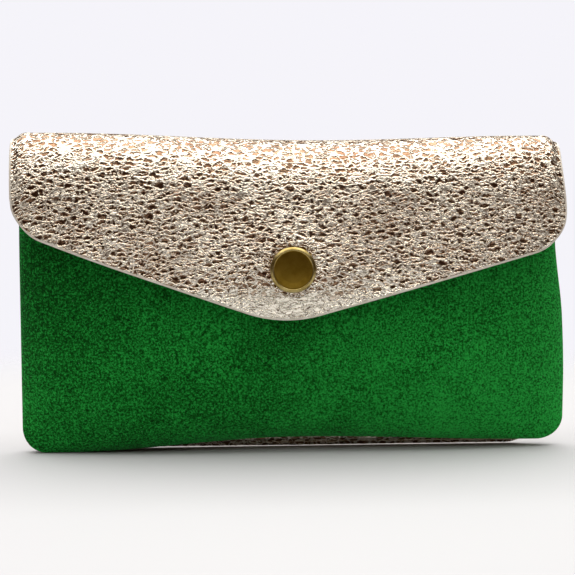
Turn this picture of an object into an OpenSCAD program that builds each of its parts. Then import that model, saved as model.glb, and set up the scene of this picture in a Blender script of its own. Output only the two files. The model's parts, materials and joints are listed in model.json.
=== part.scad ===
// Snap-flap leather card purse: a suede front and a leather back sewn inside out along the
// sides and bottom, with the back leather folding over the mouth as a pointed flap.
// +X is the width, -Y the front, +Z up. The origin is under the middle of the whole object.

/* [Body] */
// Width of the sewn body, lip to lip
body_w = 138; // [100:1:180]
// Height from the standing surface to the top of the fold
body_h = 80; // [68:1:110]
// How far the suede front bulges in front of the middle plane
front_bulge = 8.4; // [7.4:0.1:14]
// How far the leather back bulges behind the middle plane
back_bulge = 8; // [7:0.1:14]
// Radius of the two bottom corners
corner_r = 7; // [4:0.5:14]
// Width of the flat the body stands on beside each bottom corner
foot_w = 5; // [3:0.5:10]
// Rise of the bottom edge between the two feet
arch_h = 3.4; // [0:0.1:8]
// How far the edge of the front panel at the mouth lies below the top of the fold
mouth_drop = 14; // [12:0.5:20]

/* [Leather] */
// Thickness of the suede front
suede_t = 1; // [0.8:0.1:1.4]
// Thickness of the metallic leather of the back, fold and flap
leather_t = 1.2; // [1:0.1:1.6]
// Thickness of the lining leather of the divider
divider_t = 0.8; // [0.6:0.1:1.2]
// Thickness of the lining leather of the card pockets
pocket_t = 0.6; // [0.5:0.1:0.9]
// Diameter of the sewing thread
thread_d = 0.5; // [0.4:0.05:0.8]

/* [Flap] */
// Width of the flap
flap_w = 140; // [102:1:182]
// Outer radius of the fold over the mouth
fold_r = 5; // [4:0.1:7]
// Distance from the top of the fold down to the tip of the flap
flap_drop = 45.5; // [40:0.5:60]
// Slope of the two lower edges of the flap, in degrees
flap_slope = 17.1; // [8:0.1:20]
// Radius of the tip of the flap
tip_r = 31; // [10:1:40]
// Radius of the two side corners of the flap
flap_corner_r = 11; // [4:0.5:12]

/* [Snap] */
// Distance from the top of the fold down to the centre of the snap
snap_drop = 32.2; // [28:0.1:40]
// Diameter of the visible cap
cap_d = 11.4; // [10:0.1:15]
// Thickness of the cap
cap_t = 1.5; // [1.2:0.1:2.5]
// Diameter of the rivet shanks of the cap and the post
shank_d = 3.2; // [2.5:0.1:4]
// Diameter of the head of the stud
stud_head_d = 5.4; // [4.8:0.1:6.5]
// Diameter of the flange of the stud
stud_flange_d = 8.4; // [7.4:0.1:10]
// Distance between the front panel and the flap where the snap joins them
snap_gap = 3.3; // [3.3:0.1:4]
// Diameter of the spring wire
spring_d = 0.4; // [0.3:0.05:0.5]

/* [Card pockets] */
// Width of a card
card_w = 85.6; // [80:0.1:90]
// Height of the lower card that stays covered by the front pocket
front_pocket_h = 30; // [20:1:34]
// Step between the mouth of one pocket and the next
pocket_step = 9; // [6:1:12]
// Depth of the slot that takes a card
card_gap = 0.9; // [0.8:0.1:1.3]
// Width of the sewn border round the pockets
pocket_border = 4; // [3:0.5:6]
// Height of the sewn foot of the pockets above the standing surface
pocket_base = 9; // [8:0.5:16]
// How far the top of the divider lies below the top of the fold
divider_drop = 20; // [18:1:26]

/* [Hidden] */
$fn = 64;
eps = 0.01;

// clearances
fold_gap = 0.4;      // between the pieces on either side of a fold line
rest_gap = 0.4;      // between the flap and the front panel at the mouth
card_side_gap = 1.2; // on each side of a card in its pocket
shank_gap = 0.1;     // round a shank in its hole
wire_gap = 0.2;      // between the spring wires and the neck of the stud

// the seam: both lips round over from their own panel to the seam line
half_w = body_w / 2;
seam_y = 1.5;                     // seam line behind the middle plane, low on the body
seam_half_gap = 0.2;              // from the seam line to each panel's inner face
front_lip = suede_t + seam_half_gap;
back_lip = leather_t + seam_half_gap;
fold_z = body_h - fold_r;         // centre of the fold
fold_in_r = fold_r - leather_t;
hem_z = body_h - mouth_drop;
shoulder_h = 19;                  // length over which the bulge dies away into the fold
shoulder_z = fold_z - shoulder_h;
seam_rise_h = 27;                 // length over which the seam line swings back to the fold
bottom_round_h = 25;              // height over which the bulge grows from the bottom lip
edge_power = 3;
round_power = 2.5;
round_root = 0.6;

// the snap
snap_z = body_h - snap_drop;
flange_t = 0.5;
neck_l = 0.8;
neck_d = stud_head_d - 1.2;
head_t = 1;
clench_t = 0.25;
socket_wall = 1;
socket_bore_d = stud_head_d + 1.4;
socket_d = socket_bore_d + 2 * socket_wall;
washer_t = 0.5;
washer_d = stud_flange_d + 5;

// depth of the object, which puts the origin under its middle
front_y = -(front_bulge + snap_gap + leather_t + cap_t);
shift_y = -(front_y + back_bulge) / 2;

// stations across the width: the arch, the foot and the round corner of one half
arch_steps = 8;
corner_steps = 4;
arch_x = half_w - corner_r - foot_w;
half_stations = concat(
    [for (i = [0 : arch_steps]) arch_x * i / arch_steps],
    [for (i = [0 : corner_steps]) half_w - corner_r + corner_r * sin(90 * i / corner_steps)]);
stations = mirrored_list(half_stations);

function mirrored_list(h) =
    concat([for (i = [len(h) - 1 : -1 : 1]) -h[i]], h);
function mix(a, b, t) = a + (b - a) * t;
function limit(t) = min(1, max(0, t));
function smooth(t) = limit(t) * limit(t) * (3 - 2 * limit(t));

// height of the bottom edge at a distance x from the middle
function bottom_z(x) =
    abs(x) > half_w - corner_r
        ? corner_r - sqrt(max(0, pow(corner_r, 2) - pow(abs(x) - half_w + corner_r, 2)))
        : abs(x) > arch_x ? 0 : arch_h * pow(cos(90 * abs(x) / arch_x), 2);

// how fully the pillow is open: 0 at the sewn edges, 1 in the middle
function side_open(x) = pow(max(0, 1 - pow(min(1, abs(x) / half_w), edge_power)), round_root);
function bottom_open(d) = pow(max(0, 1 - pow(1 - limit(d / bottom_round_h), round_power)),
                              round_root);
function openness(x, z) = side_open(x) * bottom_open(z - bottom_z(x));

// 0 below the shoulder, 1 at the fold
function shoulder(z) = smooth((z - shoulder_z) / shoulder_h);
function seam_line(z) = mix(seam_y, fold_r - back_lip, smooth((z - fold_z) / seam_rise_h + 1));

// the sides of the flap lie nearer the body than its middle does
flap_side_fall = 0.4;
function flap_close(x) = flap_side_fall * pow(abs(2 * x / flap_w), 3);

// y of the outer face of each panel, and of the inner face of the flap
function front_face(x, z) =
    mix(seam_line(z) - front_lip, -mix(front_bulge, fold_in_r - rest_gap, shoulder(z)),
        openness(x, z));
function back_face(x, z) =
    mix(seam_line(z) + back_lip, mix(back_bulge, fold_r, shoulder(z)), openness(x, z));
function flap_face(x, z) =
    -mix(mix(front_bulge + snap_gap, fold_in_r, flap_close(x)), fold_in_r, shoulder(z));

// height of the lower edge of the flap at a distance x from the middle
slope_start = tip_r * sin(flap_slope);
slope_drop = flap_drop - tip_r + tip_r * cos(flap_slope);
apex_drop = slope_drop - tan(flap_slope) * (flap_w / 2 - slope_start);
corner_run = flap_corner_r * tan((90 - flap_slope) / 2);
flap_corner_x = flap_w / 2 - flap_corner_r;
slope_end = flap_w / 2 - corner_run * cos(flap_slope);
function flap_edge_drop(x) =
    abs(x) < slope_start ? flap_drop - tip_r + sqrt(pow(tip_r, 2) - pow(x, 2))
    : abs(x) < slope_end ? slope_drop - tan(flap_slope) * (abs(x) - slope_start)
    : apex_drop - corner_run
      + sqrt(max(0, pow(flap_corner_r, 2) - pow(abs(x) - flap_corner_x, 2)));

// a sheet between two grids of points, outer[row][column] and inner[row][column]
module sheet(outer, inner) {
    rows = len(outer);
    cols = len(outer[0]);
    count = rows * cols;
    points = concat([for (r = outer) each r], [for (r = inner) each r]);
    function at(r, c) = r * cols + c;
    function quad(a, b, c, d) = [[a, b, c], [a, c, d]];
    face = [for (r = [0 : rows - 2], c = [0 : cols - 2])
        each quad(at(r, c), at(r, c + 1), at(r + 1, c + 1), at(r + 1, c))];
    back = [for (t = face) [t[2] + count, t[1] + count, t[0] + count]];
    ring = concat([for (c = [0 : cols - 1]) at(0, c)],
                  [for (r = [1 : rows - 1]) at(r, cols - 1)],
                  [for (c = [cols - 2 : -1 : 0]) at(rows - 1, c)],
                  [for (r = [rows - 2 : -1 : 1]) at(r, 0)]);
    edge = [for (i = [0 : len(ring) - 1])
        let (a = ring[i], b = ring[(i + 1) % len(ring)])
        each quad(b, a, a + count, b + count)];
    polyhedron(points, concat(face, back, edge), convexity = 6);
}

// a round thread swept along a list of points
module thread(path, sides = 6) {
    n = len(path);
    function ahead(i) = path[min(n - 1, i + 1)] - path[max(0, i - 1)];
    rings = [for (i = [0 : n - 1])
        let (t = ahead(i) / norm(ahead(i)), u = cross([0, 1, 0], t), s = u / norm(u),
             v = cross(t, s))
        [for (k = [0 : sides - 1])
            path[i] + thread_d / 2 * (cos(360 * k / sides) * s + sin(360 * k / sides) * v)]];
    points = [for (r = rings) each r];
    walls = [for (i = [0 : n - 2], k = [0 : sides - 1])
        let (a = i * sides + k, b = i * sides + (k + 1) % sides)
        each [[a, a + sides, b + sides], [a, b + sides, b]]];
    start = [for (k = [0 : sides - 1]) k];
    end = [for (k = [sides - 1 : -1 : 0]) (n - 1) * sides + k];
    polyhedron(points, concat(walls, [start], [end]), convexity = 6);
}

// a disc or ring whose profile runs outwards from the front panel, on the snap's axis
module on_snap_axis() {
    translate([0, shift_y - front_bulge, snap_z]) rotate([90, 0, 0]) children();
}

module shank_hole(d) {
    on_snap_axis() translate([0, 0, -20]) cylinder(h = 40, d = d + 2 * shank_gap);
}

// rows of a panel: closer together at the bottom lip, then even ones up over the shoulder
low_rows = 8;
top_rows = 5;
panel_rows = low_rows + top_rows;
function row_z(x, r, top) =
    r <= low_rows ? mix(bottom_z(x), shoulder_z, pow(r / low_rows, 1.6))
    : mix(shoulder_z, top, (r - low_rows) / top_rows);

// suede front, from the bottom lip up to its turned edge at the mouth
module front_panel() {
    function z_at(x, r) = row_z(x, r, hem_z);
    function face(x, r, in) = [x, shift_y + front_face(x, z_at(x, r)) + in, z_at(x, r)];
    color("#1d6a33") difference() {
        sheet([for (r = [0 : panel_rows]) [for (x = stations) face(x, r, 0)]],
              [for (r = [0 : panel_rows]) [for (x = stations) face(x, r, suede_t)]]);
        shank_hole(shank_d);
    }
}

// points of the leather over the fold: angle 0 at the back, 180 at the front
function fold_point(x, a, r) = [x, shift_y + r * cos(a), fold_z + r * sin(a)];
fold_cut = 45;
cut_angle = asin(fold_gap / 2 / fold_r);
arc_rows = 3;
function widened(x, z) = x * mix(1, flap_w / body_w, smooth((z - fold_z) / seam_rise_h + 1));

// leather back, from the bottom lip up to the first fold line
module back_panel() {
    function z_at(x, r) = row_z(x, r, fold_z);
    function face(x, r, in) =
        [widened(x, z_at(x, r)), shift_y + back_face(x, z_at(x, r)) - in, z_at(x, r)];
    function arc(r) = (fold_cut - cut_angle) * r / arc_rows;
    function grid(in) = concat(
        [for (r = [0 : panel_rows]) [for (x = stations) face(x, r, in)]],
        [for (r = [1 : arc_rows])
            [for (x = stations) fold_point(widened(x, body_h), arc(r), fold_r - in)]]);
    color("#c9a26b") sheet(grid(leather_t), grid(0));
}

// the band of the same leather that lies over the mouth between the two fold lines
module flap_fold() {
    from = fold_cut + cut_angle;
    color("#cfa872") translate([-flap_w / 2, shift_y, fold_z]) rotate([90, 0, 90])
        intersection() {
            difference() {
                cylinder(h = flap_w, r = fold_r);
                translate([0, 0, -eps]) cylinder(h = flap_w + 2 * eps, r = fold_in_r);
            }
            linear_extrude(flap_w) polygon([
                [0, 0],
                2 * fold_r * [cos(from), sin(from)],
                [0, 3 * fold_r],
                2 * fold_r * [-cos(from), sin(from)]]);
        }
}

// the pointed flap, from the second fold line down over the front
flap_rows = 10;
slope_steps = 7;
module flap() {
    half = concat(
        [0, slope_start / 2],
        [for (i = [0 : slope_steps]) mix(slope_start, slope_end, i / slope_steps)],
        [for (a = [45, 60, 75, 90]) flap_corner_x + flap_corner_r * sin(a)]);
    columns = mirrored_list(half);
    function z_at(x, r) = mix(fold_z, body_h - flap_edge_drop(x), r / flap_rows);
    function face(x, r, out) = [x, shift_y + flap_face(x, z_at(x, r)) - out, z_at(x, r)];
    function arc(r) = mix(180, 180 - fold_cut + cut_angle, r / arc_rows);
    function grid(out) = concat(
        [for (r = [arc_rows : -1 : 1]) [for (x = columns) fold_point(x, arc(r), fold_in_r + out)]],
        [for (r = [0 : flap_rows]) [for (x = columns) face(x, r, out)]]);
    color("#d2ab75") difference() {
        sheet(grid(0), grid(leather_t));
        shank_hole(shank_d);
    }
}

// the middle leaf that parts the two compartments, caught in the side and bottom seams
divider_inset = 1.5;
divider_z = body_h - divider_drop;
leaf_steps = 12;
// outline of a leaf inset from the sewn edge, as seen from the front
module leaf_outline(inset, top) {
    k = (half_w - inset) / half_w;
    polygon(concat([for (x = stations) [k * x, max(bottom_z(x), 0) + inset]],
                   [[half_w - inset, top], [-half_w + inset, top]]));
}
// a leaf that follows the seam line, between two distances in front of it
module leaf(from, to, low, high) {
    steps = [for (i = [0 : leaf_steps]) mix(low, high, i / leaf_steps)];
    translate([-half_w, shift_y, 0]) rotate([90, 0, 90]) linear_extrude(body_w)
        polygon(concat([for (z = steps) [seam_line(z) - from, z]],
                       [for (i = [leaf_steps : -1 : 0]) [seam_line(steps[i]) - to, steps[i]]]));
}
module divider() {
    color("#d9c3a0") intersection() {
        leaf(-divider_t / 2, divider_t / 2, 0, divider_z);
        translate([0, 50, 0]) rotate([90, 0, 0]) linear_extrude(100)
            leaf_outline(divider_inset, divider_z);
    }
}

// a card pocket: a leaf with a sewn border round a slot that is open at the top
pocket_w = card_w + 2 * (card_side_gap + pocket_border);
layer_gap = 0.05;
pocket_depth = card_gap + pocket_t;
rear_from = divider_t / 2 + layer_gap;
front_from = rear_from + pocket_depth + layer_gap;
front_pocket_z = pocket_base + front_pocket_h;
rear_pocket_z = front_pocket_z + pocket_step;
module card_pocket(from, top) {
    inside_w = pocket_w - 2 * pocket_border;
    difference() {
        intersection() {
            leaf(from, from + pocket_depth, pocket_base, top);
            translate([-pocket_w / 2, -50, 0]) cube([pocket_w, 100, body_h]);
        }
        intersection() {
            leaf(from - eps, from + card_gap, pocket_base + pocket_border, top + eps);
            translate([-inside_w / 2, -50, 0]) cube([inside_w, 100, body_h]);
        }
    }
}
module card_pocket_rear() {
    color("#cdb58f") card_pocket(rear_from, rear_pocket_z);
}
module card_pocket_front() {
    color("#c4ab84") card_pocket(front_from, front_pocket_z);
}

// the thread that closes the turned seam round the sides and bottom
module seam_thread() {
    inset = thread_d;
    k = (half_w - inset) / half_w;
    side_rows = 8;
    function side(r) = mix(corner_r, hem_z, r / side_rows);
    function side_point(s, z) = [s * k * half_w, shift_y + seam_line(z), z];
    color("#e8dcc0") thread(concat(
        [for (r = [side_rows : -1 : 1]) side_point(-1, side(r))],
        [for (x = stations) [k * x, shift_y + seam_line(0), bottom_z(x) + inset]],
        [for (r = [1 : side_rows]) side_point(1, side(r))]));
}

// the row of stitches that holds down the turned edge at the mouth
hem_depth = 3.5;
module hem_thread() {
    z = hem_z - hem_depth;
    reach = half_w - corner_r;
    path = [for (x = stations) if (abs(x) <= reach) [x, shift_y + front_face(x, z), z]];
    color("#2f7a44") thread(path);
}

// the line of stitches round the sides and foot of the pockets
module pocket_thread() {
    x = pocket_w / 2 - pocket_border / 2;
    low = pocket_base + pocket_border / 2;
    y = shift_y + seam_y - front_from - pocket_depth - thread_d / 2 - layer_gap;
    color("#b89a6a") {
        for (s = [-1, 1])
            translate([s * x, y, low]) cylinder(h = front_pocket_z - low - thread_d, d = thread_d);
        translate([-x, y, low]) rotate([0, 90, 0]) cylinder(h = 2 * x, d = thread_d);
    }
}

// brass cap with a bevelled rim, and the shank that is clenched inside the socket
module snap_cap() {
    seat = snap_gap + leather_t;
    rim = 0.7;
    inner = snap_gap - flange_t - clench_t;
    color("#8a6f3c") on_snap_axis() rotate_extrude() polygon([
        [0, inner],
        [shank_d / 2 + 0.5, inner],
        [shank_d / 2 + 0.5, inner + clench_t],
        [shank_d / 2, inner + clench_t],
        [shank_d / 2, seat],
        [cap_d / 2 - 0.2, seat],
        [cap_d / 2, seat + 0.3],
        [cap_d / 2, seat + cap_t - rim],
        [cap_d / 2 - rim, seat + cap_t - 0.1],
        [cap_d / 2 - rim - 0.3, seat + cap_t - 0.25],
        [cap_d / 4, seat + cap_t - 0.05],
        [0, seat + cap_t]]);
}

// brass socket on the inner face of the flap
socket_mouth = flange_t + 0.3;
module snap_socket() {
    color("#a8884a") on_snap_axis() difference() {
        union() {
            translate([0, 0, socket_mouth])
                cylinder(h = snap_gap - socket_mouth, d = socket_d);
            translate([0, 0, snap_gap - flange_t]) cylinder(h = flange_t, d = cap_d - 1);
        }
        translate([0, 0, socket_mouth - eps])
            cylinder(h = snap_gap - flange_t - socket_mouth + eps, d = socket_bore_d);
        cylinder(h = snap_gap + 1, d = shank_d + 2 * eps);
    }
}

// the two spring wires that close behind the head of the stud
module snap_spring() {
    x = neck_d / 2 + wire_gap + spring_d / 2;
    reach = sqrt(pow(socket_bore_d / 2, 2) - pow(x + spring_d / 2, 2)) - layer_gap;
    color("#d8d8d8") on_snap_axis() for (s = [-1, 1])
        translate([s * x, -reach, socket_mouth + spring_d / 2])
            rotate([-90, 0, 0]) cylinder(h = 2 * reach, d = spring_d, $fn = 24);
}

// brass stud on the front panel, riveted to the post
module snap_stud() {
    top = flange_t + neck_l + head_t;
    edge = 0.35;
    color("#a8884a") on_snap_axis() rotate_extrude() polygon([
        [shank_d / 2 + eps, 0],
        [stud_flange_d / 2 - 0.15, 0],
        [stud_flange_d / 2, 0.15],
        [stud_flange_d / 2, flange_t],
        [neck_d / 2, flange_t],
        [neck_d / 2, flange_t + neck_l],
        [stud_head_d / 2, flange_t + neck_l + edge / 2],
        [stud_head_d / 2, top - edge],
        [stud_head_d / 2 - edge, top],
        [shank_d / 2 + eps, top]]);
}

// brass post inside the body; its shank goes through the washer, the suede and the stud
module snap_post() {
    top = flange_t + neck_l + head_t - 0.1;
    color("#a8884a") on_snap_axis() {
        translate([0, 0, -suede_t - washer_t - flange_t])
            cylinder(h = flange_t, d = stud_flange_d);
        translate([0, 0, -suede_t - washer_t - flange_t])
            cylinder(h = suede_t + washer_t + flange_t + top, d = shank_d);
    }
}

// felt washer that keeps the post from pulling through the suede
module snap_washer() {
    color("#d9c3a0") on_snap_axis() translate([0, 0, -suede_t - washer_t]) difference() {
        cylinder(h = washer_t - eps, d = washer_d);
        translate([0, 0, -eps]) cylinder(h = washer_t + 2 * eps, d = shank_d + 2 * shank_gap);
    }
}

front_panel();
back_panel();
flap_fold();
flap();
divider();
card_pocket_rear();
card_pocket_front();
seam_thread();
hem_thread();
pocket_thread();
snap_cap();
snap_socket();
snap_spring();
snap_stud();
snap_post();
snap_washer();
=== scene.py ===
# A small snap-flap card purse: a suede front and a metallic leather back are sewn together inside
# out, and the back runs on over the mouth as a pointed flap that closes with a brass snap.
import json
import math

import bpy
import numpy as np
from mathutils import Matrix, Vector

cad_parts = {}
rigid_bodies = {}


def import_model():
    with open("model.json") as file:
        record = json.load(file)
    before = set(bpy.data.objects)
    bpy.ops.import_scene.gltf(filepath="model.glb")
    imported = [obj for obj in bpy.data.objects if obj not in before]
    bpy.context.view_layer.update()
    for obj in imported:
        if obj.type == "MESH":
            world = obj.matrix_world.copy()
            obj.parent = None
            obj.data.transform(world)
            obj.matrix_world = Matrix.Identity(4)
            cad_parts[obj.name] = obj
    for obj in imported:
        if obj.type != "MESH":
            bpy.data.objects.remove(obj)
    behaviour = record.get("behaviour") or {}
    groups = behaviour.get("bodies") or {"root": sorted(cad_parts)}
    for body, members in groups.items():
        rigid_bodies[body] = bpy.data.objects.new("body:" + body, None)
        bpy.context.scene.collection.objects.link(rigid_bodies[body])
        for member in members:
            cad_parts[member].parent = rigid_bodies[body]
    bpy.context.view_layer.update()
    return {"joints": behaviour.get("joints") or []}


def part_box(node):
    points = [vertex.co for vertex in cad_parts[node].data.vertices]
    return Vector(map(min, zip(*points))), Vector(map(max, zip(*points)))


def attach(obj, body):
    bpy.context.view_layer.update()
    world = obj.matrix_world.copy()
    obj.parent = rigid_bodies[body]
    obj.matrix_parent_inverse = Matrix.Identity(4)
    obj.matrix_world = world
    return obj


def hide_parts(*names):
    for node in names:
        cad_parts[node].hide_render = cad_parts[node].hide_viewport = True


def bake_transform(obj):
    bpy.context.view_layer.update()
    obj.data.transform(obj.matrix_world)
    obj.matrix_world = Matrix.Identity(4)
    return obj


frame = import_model()


# ---- The view -------------------------------------------------------------------------------
# The purse stands facing the camera, which looks down on it a little from the left of centre
# through a long lens.
view_target = Vector((-0.0004, 0.0045, 0.0417))
view_distance = 0.411
view_azimuth = math.radians(-3.9)
view_elevation = math.radians(6.8)

camera = bpy.data.objects.new("camera", bpy.data.cameras.new("camera"))
bpy.context.scene.collection.objects.link(camera)
camera.data.sensor_width = 36
camera.data.lens = 101.1
camera.data.clip_start = 0.01
toward_camera = Vector((math.sin(view_azimuth) * math.cos(view_elevation),
                        -math.cos(view_azimuth) * math.cos(view_elevation),
                        math.sin(view_elevation)))
camera.location = view_target + toward_camera * view_distance
camera.rotation_euler = (-toward_camera).to_track_quat("-Z", "Y").to_euler()
bpy.context.scene.camera = camera
bpy.context.scene.view_settings.view_transform = "Standard"


# ---- The table and the light ----------------------------------------------------------------
# A pale table top that thins out into the backdrop. One wide soft box hangs overhead and a little
# behind. The metallic leather mirrors a room that is dim near eye level and bright above, and the
# camera sees a plain pale backdrop in place of that room.
def new_material(name):
    """An empty node material and two short calls: one adds a node, the other joins two sockets."""
    material = bpy.data.materials.new(name)
    material.use_nodes = True
    material.node_tree.nodes.clear()

    def node(kind, **inputs):
        made = material.node_tree.nodes.new("ShaderNode" + kind)
        for key, value in inputs.items():
            if key in made.bl_rna.properties:
                setattr(made, key, value)
            else:
                made.inputs[key.replace("_", " ")].default_value = value
        return made

    def join(source, target):
        material.node_tree.links.new(source, target)

    return material, node, join


def area_light(name, place, aim, size, power, colour):
    """A rectangular soft box at place, turned to face aim."""
    data = bpy.data.lights.new(name, "AREA")
    data.shape = "RECTANGLE"
    data.size, data.size_y = size
    data.energy = power
    data.color = colour
    light = bpy.data.objects.new(name, data)
    light.location = place
    light.rotation_euler = (Vector(aim) - Vector(place)).to_track_quat("-Z", "Y").to_euler()
    bpy.context.scene.collection.objects.link(light)


def combine(node, join, operation, a, b=None, share=None):
    """One sum on the values a, b and share, each of them a number or a socket."""
    made = node("Math", operation=operation)
    for socket, source in zip(made.inputs, (a, b, share)):
        if isinstance(source, (int, float)):
            socket.default_value = source
        elif source is not None:
            join(source, socket)
    return made.outputs[0]


def surfaced(node, join, colour, height, strength, depth, **settings):
    """A shader with a colour and a raised grain, joined to the material's output."""
    shader = node("BsdfPrincipled", **settings)
    join(colour, shader.inputs["Base Color"])
    bump = node("Bump", Strength=strength, Distance=depth)
    join(height, bump.inputs["Height"])
    join(bump.outputs[0], shader.inputs["Normal"])
    join(shader.outputs[0], node("OutputMaterial").inputs[0])
    return shader


area_light("overhead_box", (0.0, 0.10, 0.75), (0, 0, 0.03), (1.3, 0.7), 11.0, (1, 0.985, 0.96))

table_mesh = bpy.data.meshes.new("table")
table_mesh.from_pydata([(-3, -3, 0), (3, -3, 0), (3, 3, 0), (-3, 3, 0)], [], [(0, 1, 2, 3)])
table = bpy.data.objects.new("table", table_mesh)
bpy.context.scene.collection.objects.link(table)
table_white, node, join = new_material("table_white")
shader = node("BsdfPrincipled", Base_Color=(0.50, 0.50, 0.515, 1), Roughness=0.6)
distance = node("VectorMath", operation="LENGTH")
join(node("TexCoord").outputs["Object"], distance.inputs[0])
fade = node("MapRange", interpolation_type="SMOOTHSTEP")
fade.inputs["From Min"].default_value = 0.12
fade.inputs["From Max"].default_value = 0.20
join(distance.outputs["Value"], fade.inputs["Value"])
faded = node("MixShader")
join(fade.outputs[0], faded.inputs[0])
join(shader.outputs[0], faded.inputs[1])
join(node("BsdfTransparent").outputs[0], faded.inputs[2])
join(faded.outputs[0], node("OutputMaterial").inputs[0])
table_mesh.materials.append(table_white)

world = bpy.data.worlds.new("studio")
bpy.context.scene.world = world
world.use_nodes = True
world.node_tree.nodes.clear()


def world_node(kind, **values):
    """One node of the studio's background."""
    made = world.node_tree.nodes.new("ShaderNode" + kind)
    for key, value in values.items():
        setattr(made, key, value)
    return made


world_link = world.node_tree.links.new
direction = world_node("TexCoord")
split = world_node("SeparateXYZ")
world_link(direction.outputs["Generated"], split.inputs[0])
height_ramp = world_node("ValToRGB")
dim_room = (0.075, 0.054, 0.043, 1)
stops = height_ramp.color_ramp.elements
stops[0].position, stops[0].color = 0.0, (0.34, 0.32, 0.30, 1)
stops[1].position, stops[1].color = 1.0, (1.0, 0.99, 0.97, 1)
for position, colour in ((0.25, dim_room), (0.74, dim_room), (0.88, (1.0, 0.98, 0.95, 1))):
    stop = stops.new(position)
    stop.color = colour
scale = world_node("MapRange")
scale.inputs["From Min"].default_value = -1
world_link(split.outputs["Z"], scale.inputs["Value"])
world_link(scale.outputs[0], height_ramp.inputs[0])
room = world_node("Background")
room.inputs["Strength"].default_value = 1.2
world_link(height_ramp.outputs[0], room.inputs["Color"])
backdrop = world_node("Background")
backdrop.inputs["Color"].default_value = (0.915, 0.905, 0.955, 1)
seen = world_node("LightPath")
blend_world = world_node("MixShader")
world_link(seen.outputs["Is Camera Ray"], blend_world.inputs[0])
world_link(room.outputs[0], blend_world.inputs[1])
world_link(backdrop.outputs[0], blend_world.inputs[2])
world_link(blend_world.outputs[0], world_node("OutputWorld").inputs[0])


# ---- The suede front ------------------------------------------------------------------------
# A single piece of green goat suede. Its sides and bottom are sewn to the back inside out, so the
# edges roll round to a hidden seam, and its top edge is turned in to make the mouth.
MM = 0.001


def box_mm(node_name):
    """Lowest and highest corner of a piece of the frame, in millimetres."""
    low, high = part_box(node_name)
    return np.array(low) / MM, np.array(high) / MM


hinges = {joint["name"]: np.array(joint["pos_m"]) / MM for joint in frame["joints"]}
back_fold, front_fold = hinges["fold_hinge"], hinges["flap_hinge"]
mid_y = (back_fold[1] + front_fold[1]) / 2
fold_mid_r = (back_fold[1] - front_fold[1]) * 2 / math.pi
fold_z = back_fold[2] - fold_mid_r * math.pi / 4
body_top = box_mm("flap_fold")[1][2]
fold_r = body_top - fold_z
leather_t = 2 * (fold_r - fold_mid_r)
half_w = box_mm("front_panel")[1][0]
hem_z = box_mm("front_panel")[1][2]
front_bulge = mid_y - box_mm("front_panel")[0][1]
back_bulge = box_mm("back_panel")[1][1] - mid_y
suede_t = 1.0
seam_y = 1.5
seam_gap = 0.45
front_lip, back_lip = 1.2, 1.4
corner_r = 6.8
shoulder_h = 19
seam_rise_h = 27
bulge_rise_h = 27
seam_allowance = 4.5


def mix(a, b, t):
    """a at t = 0 and b at t = 1, in a straight line."""
    return a + (b - a) * t


def smooth(t):
    """0 up to t = 0 and 1 from t = 1, with an S-shaped rise between."""
    t = np.clip(t, 0, 1)
    return t * t * (3 - 2 * t)


def bottom_arch(x):
    """Height of the bottom edge: a squared cosine hump 3.3 mm high that comes down to the table
    on the left and only to 1.8 mm on the right, where the pouch hangs from its back."""
    right = np.where(x > 3, 1.8, 0.0)
    return right + (3.3 - right) * np.cos(np.pi / 2 * np.clip(np.abs(x - 3) / 61, 0, 1)) ** 2


def outline(count):
    """The sewn edge from the left end of the mouth down, along the bottom and up the right side:
    straight sides, a quarter circle at each corner, and the arch between. Evenly spaced."""
    side, arc, base = hem_z - corner_r, math.pi / 2 * corner_r, 2 * (half_w - corner_r)
    run = np.linspace(0, 2 * side + 2 * arc + base, count)
    left_arc = (run - side) / corner_r
    along = run - side - arc
    right_arc = (along - base) / corner_r
    rise = along - base - arc
    parts = [run < side, left_arc < math.pi / 2, along < base, right_arc < math.pi / 2]
    inner = half_w - corner_r
    x = np.select(parts, [-half_w + 0 * run, -inner - corner_r * np.cos(left_arc), -inner + along,
                          inner + corner_r * np.sin(right_arc)], half_w)
    z = np.select(parts, [hem_z - run, corner_r - corner_r * np.sin(left_arc), 0 * run,
                          corner_r - corner_r * np.cos(right_arc)], corner_r + rise)
    return x, z + bottom_arch(x) * (1 - z / hem_z)


def openness(x, z):
    """How far the two sides stand apart, from 0 at the sewn edges to 1 in the middle: one minus a
    power of the distance across, times the same up from the bottom edge, each under a root."""
    sideways = np.clip(1 - np.clip(np.abs(x) / half_w, 0, 1) ** 3, 0, None) ** 0.6
    up = np.clip((z - bottom_arch(x)) / bulge_rise_h, 0, 1)
    return sideways * np.clip(1 - (1 - up) ** 2.5, 0, None) ** 0.6


def seam_line(z):
    """The seam's distance behind the middle plane, swinging back to the fold near the top."""
    return mix(seam_y, fold_r - back_lip, smooth((z - fold_z) / seam_rise_h + 1))


def shoulder(z):
    """0 over the bulge and 1 at the fold."""
    return smooth((z - fold_z) / shoulder_h + 1)


def slack(x, z):
    """Soft unevenness of a filled pouch: a few long waves across the panel, in millimetres."""
    return (0.22 * np.sin(x / 17 + 0.7) * np.sin(z / 13 + 0.4)
            + 0.14 * np.sin(x / 8.3 - z / 11 + 1.9) + 0.10 * np.sin(x / 5.1 + z / 6.7))


def front_face(x, z):
    """y of the suede: from the seam lip forward by the bulge, which dies away to the mouth."""
    full = -mix(front_bulge, fold_r - leather_t - 0.4, shoulder(z))
    opened = openness(x, z)
    return mix(seam_line(z) - front_lip, full + slack(x, z), opened)


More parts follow.
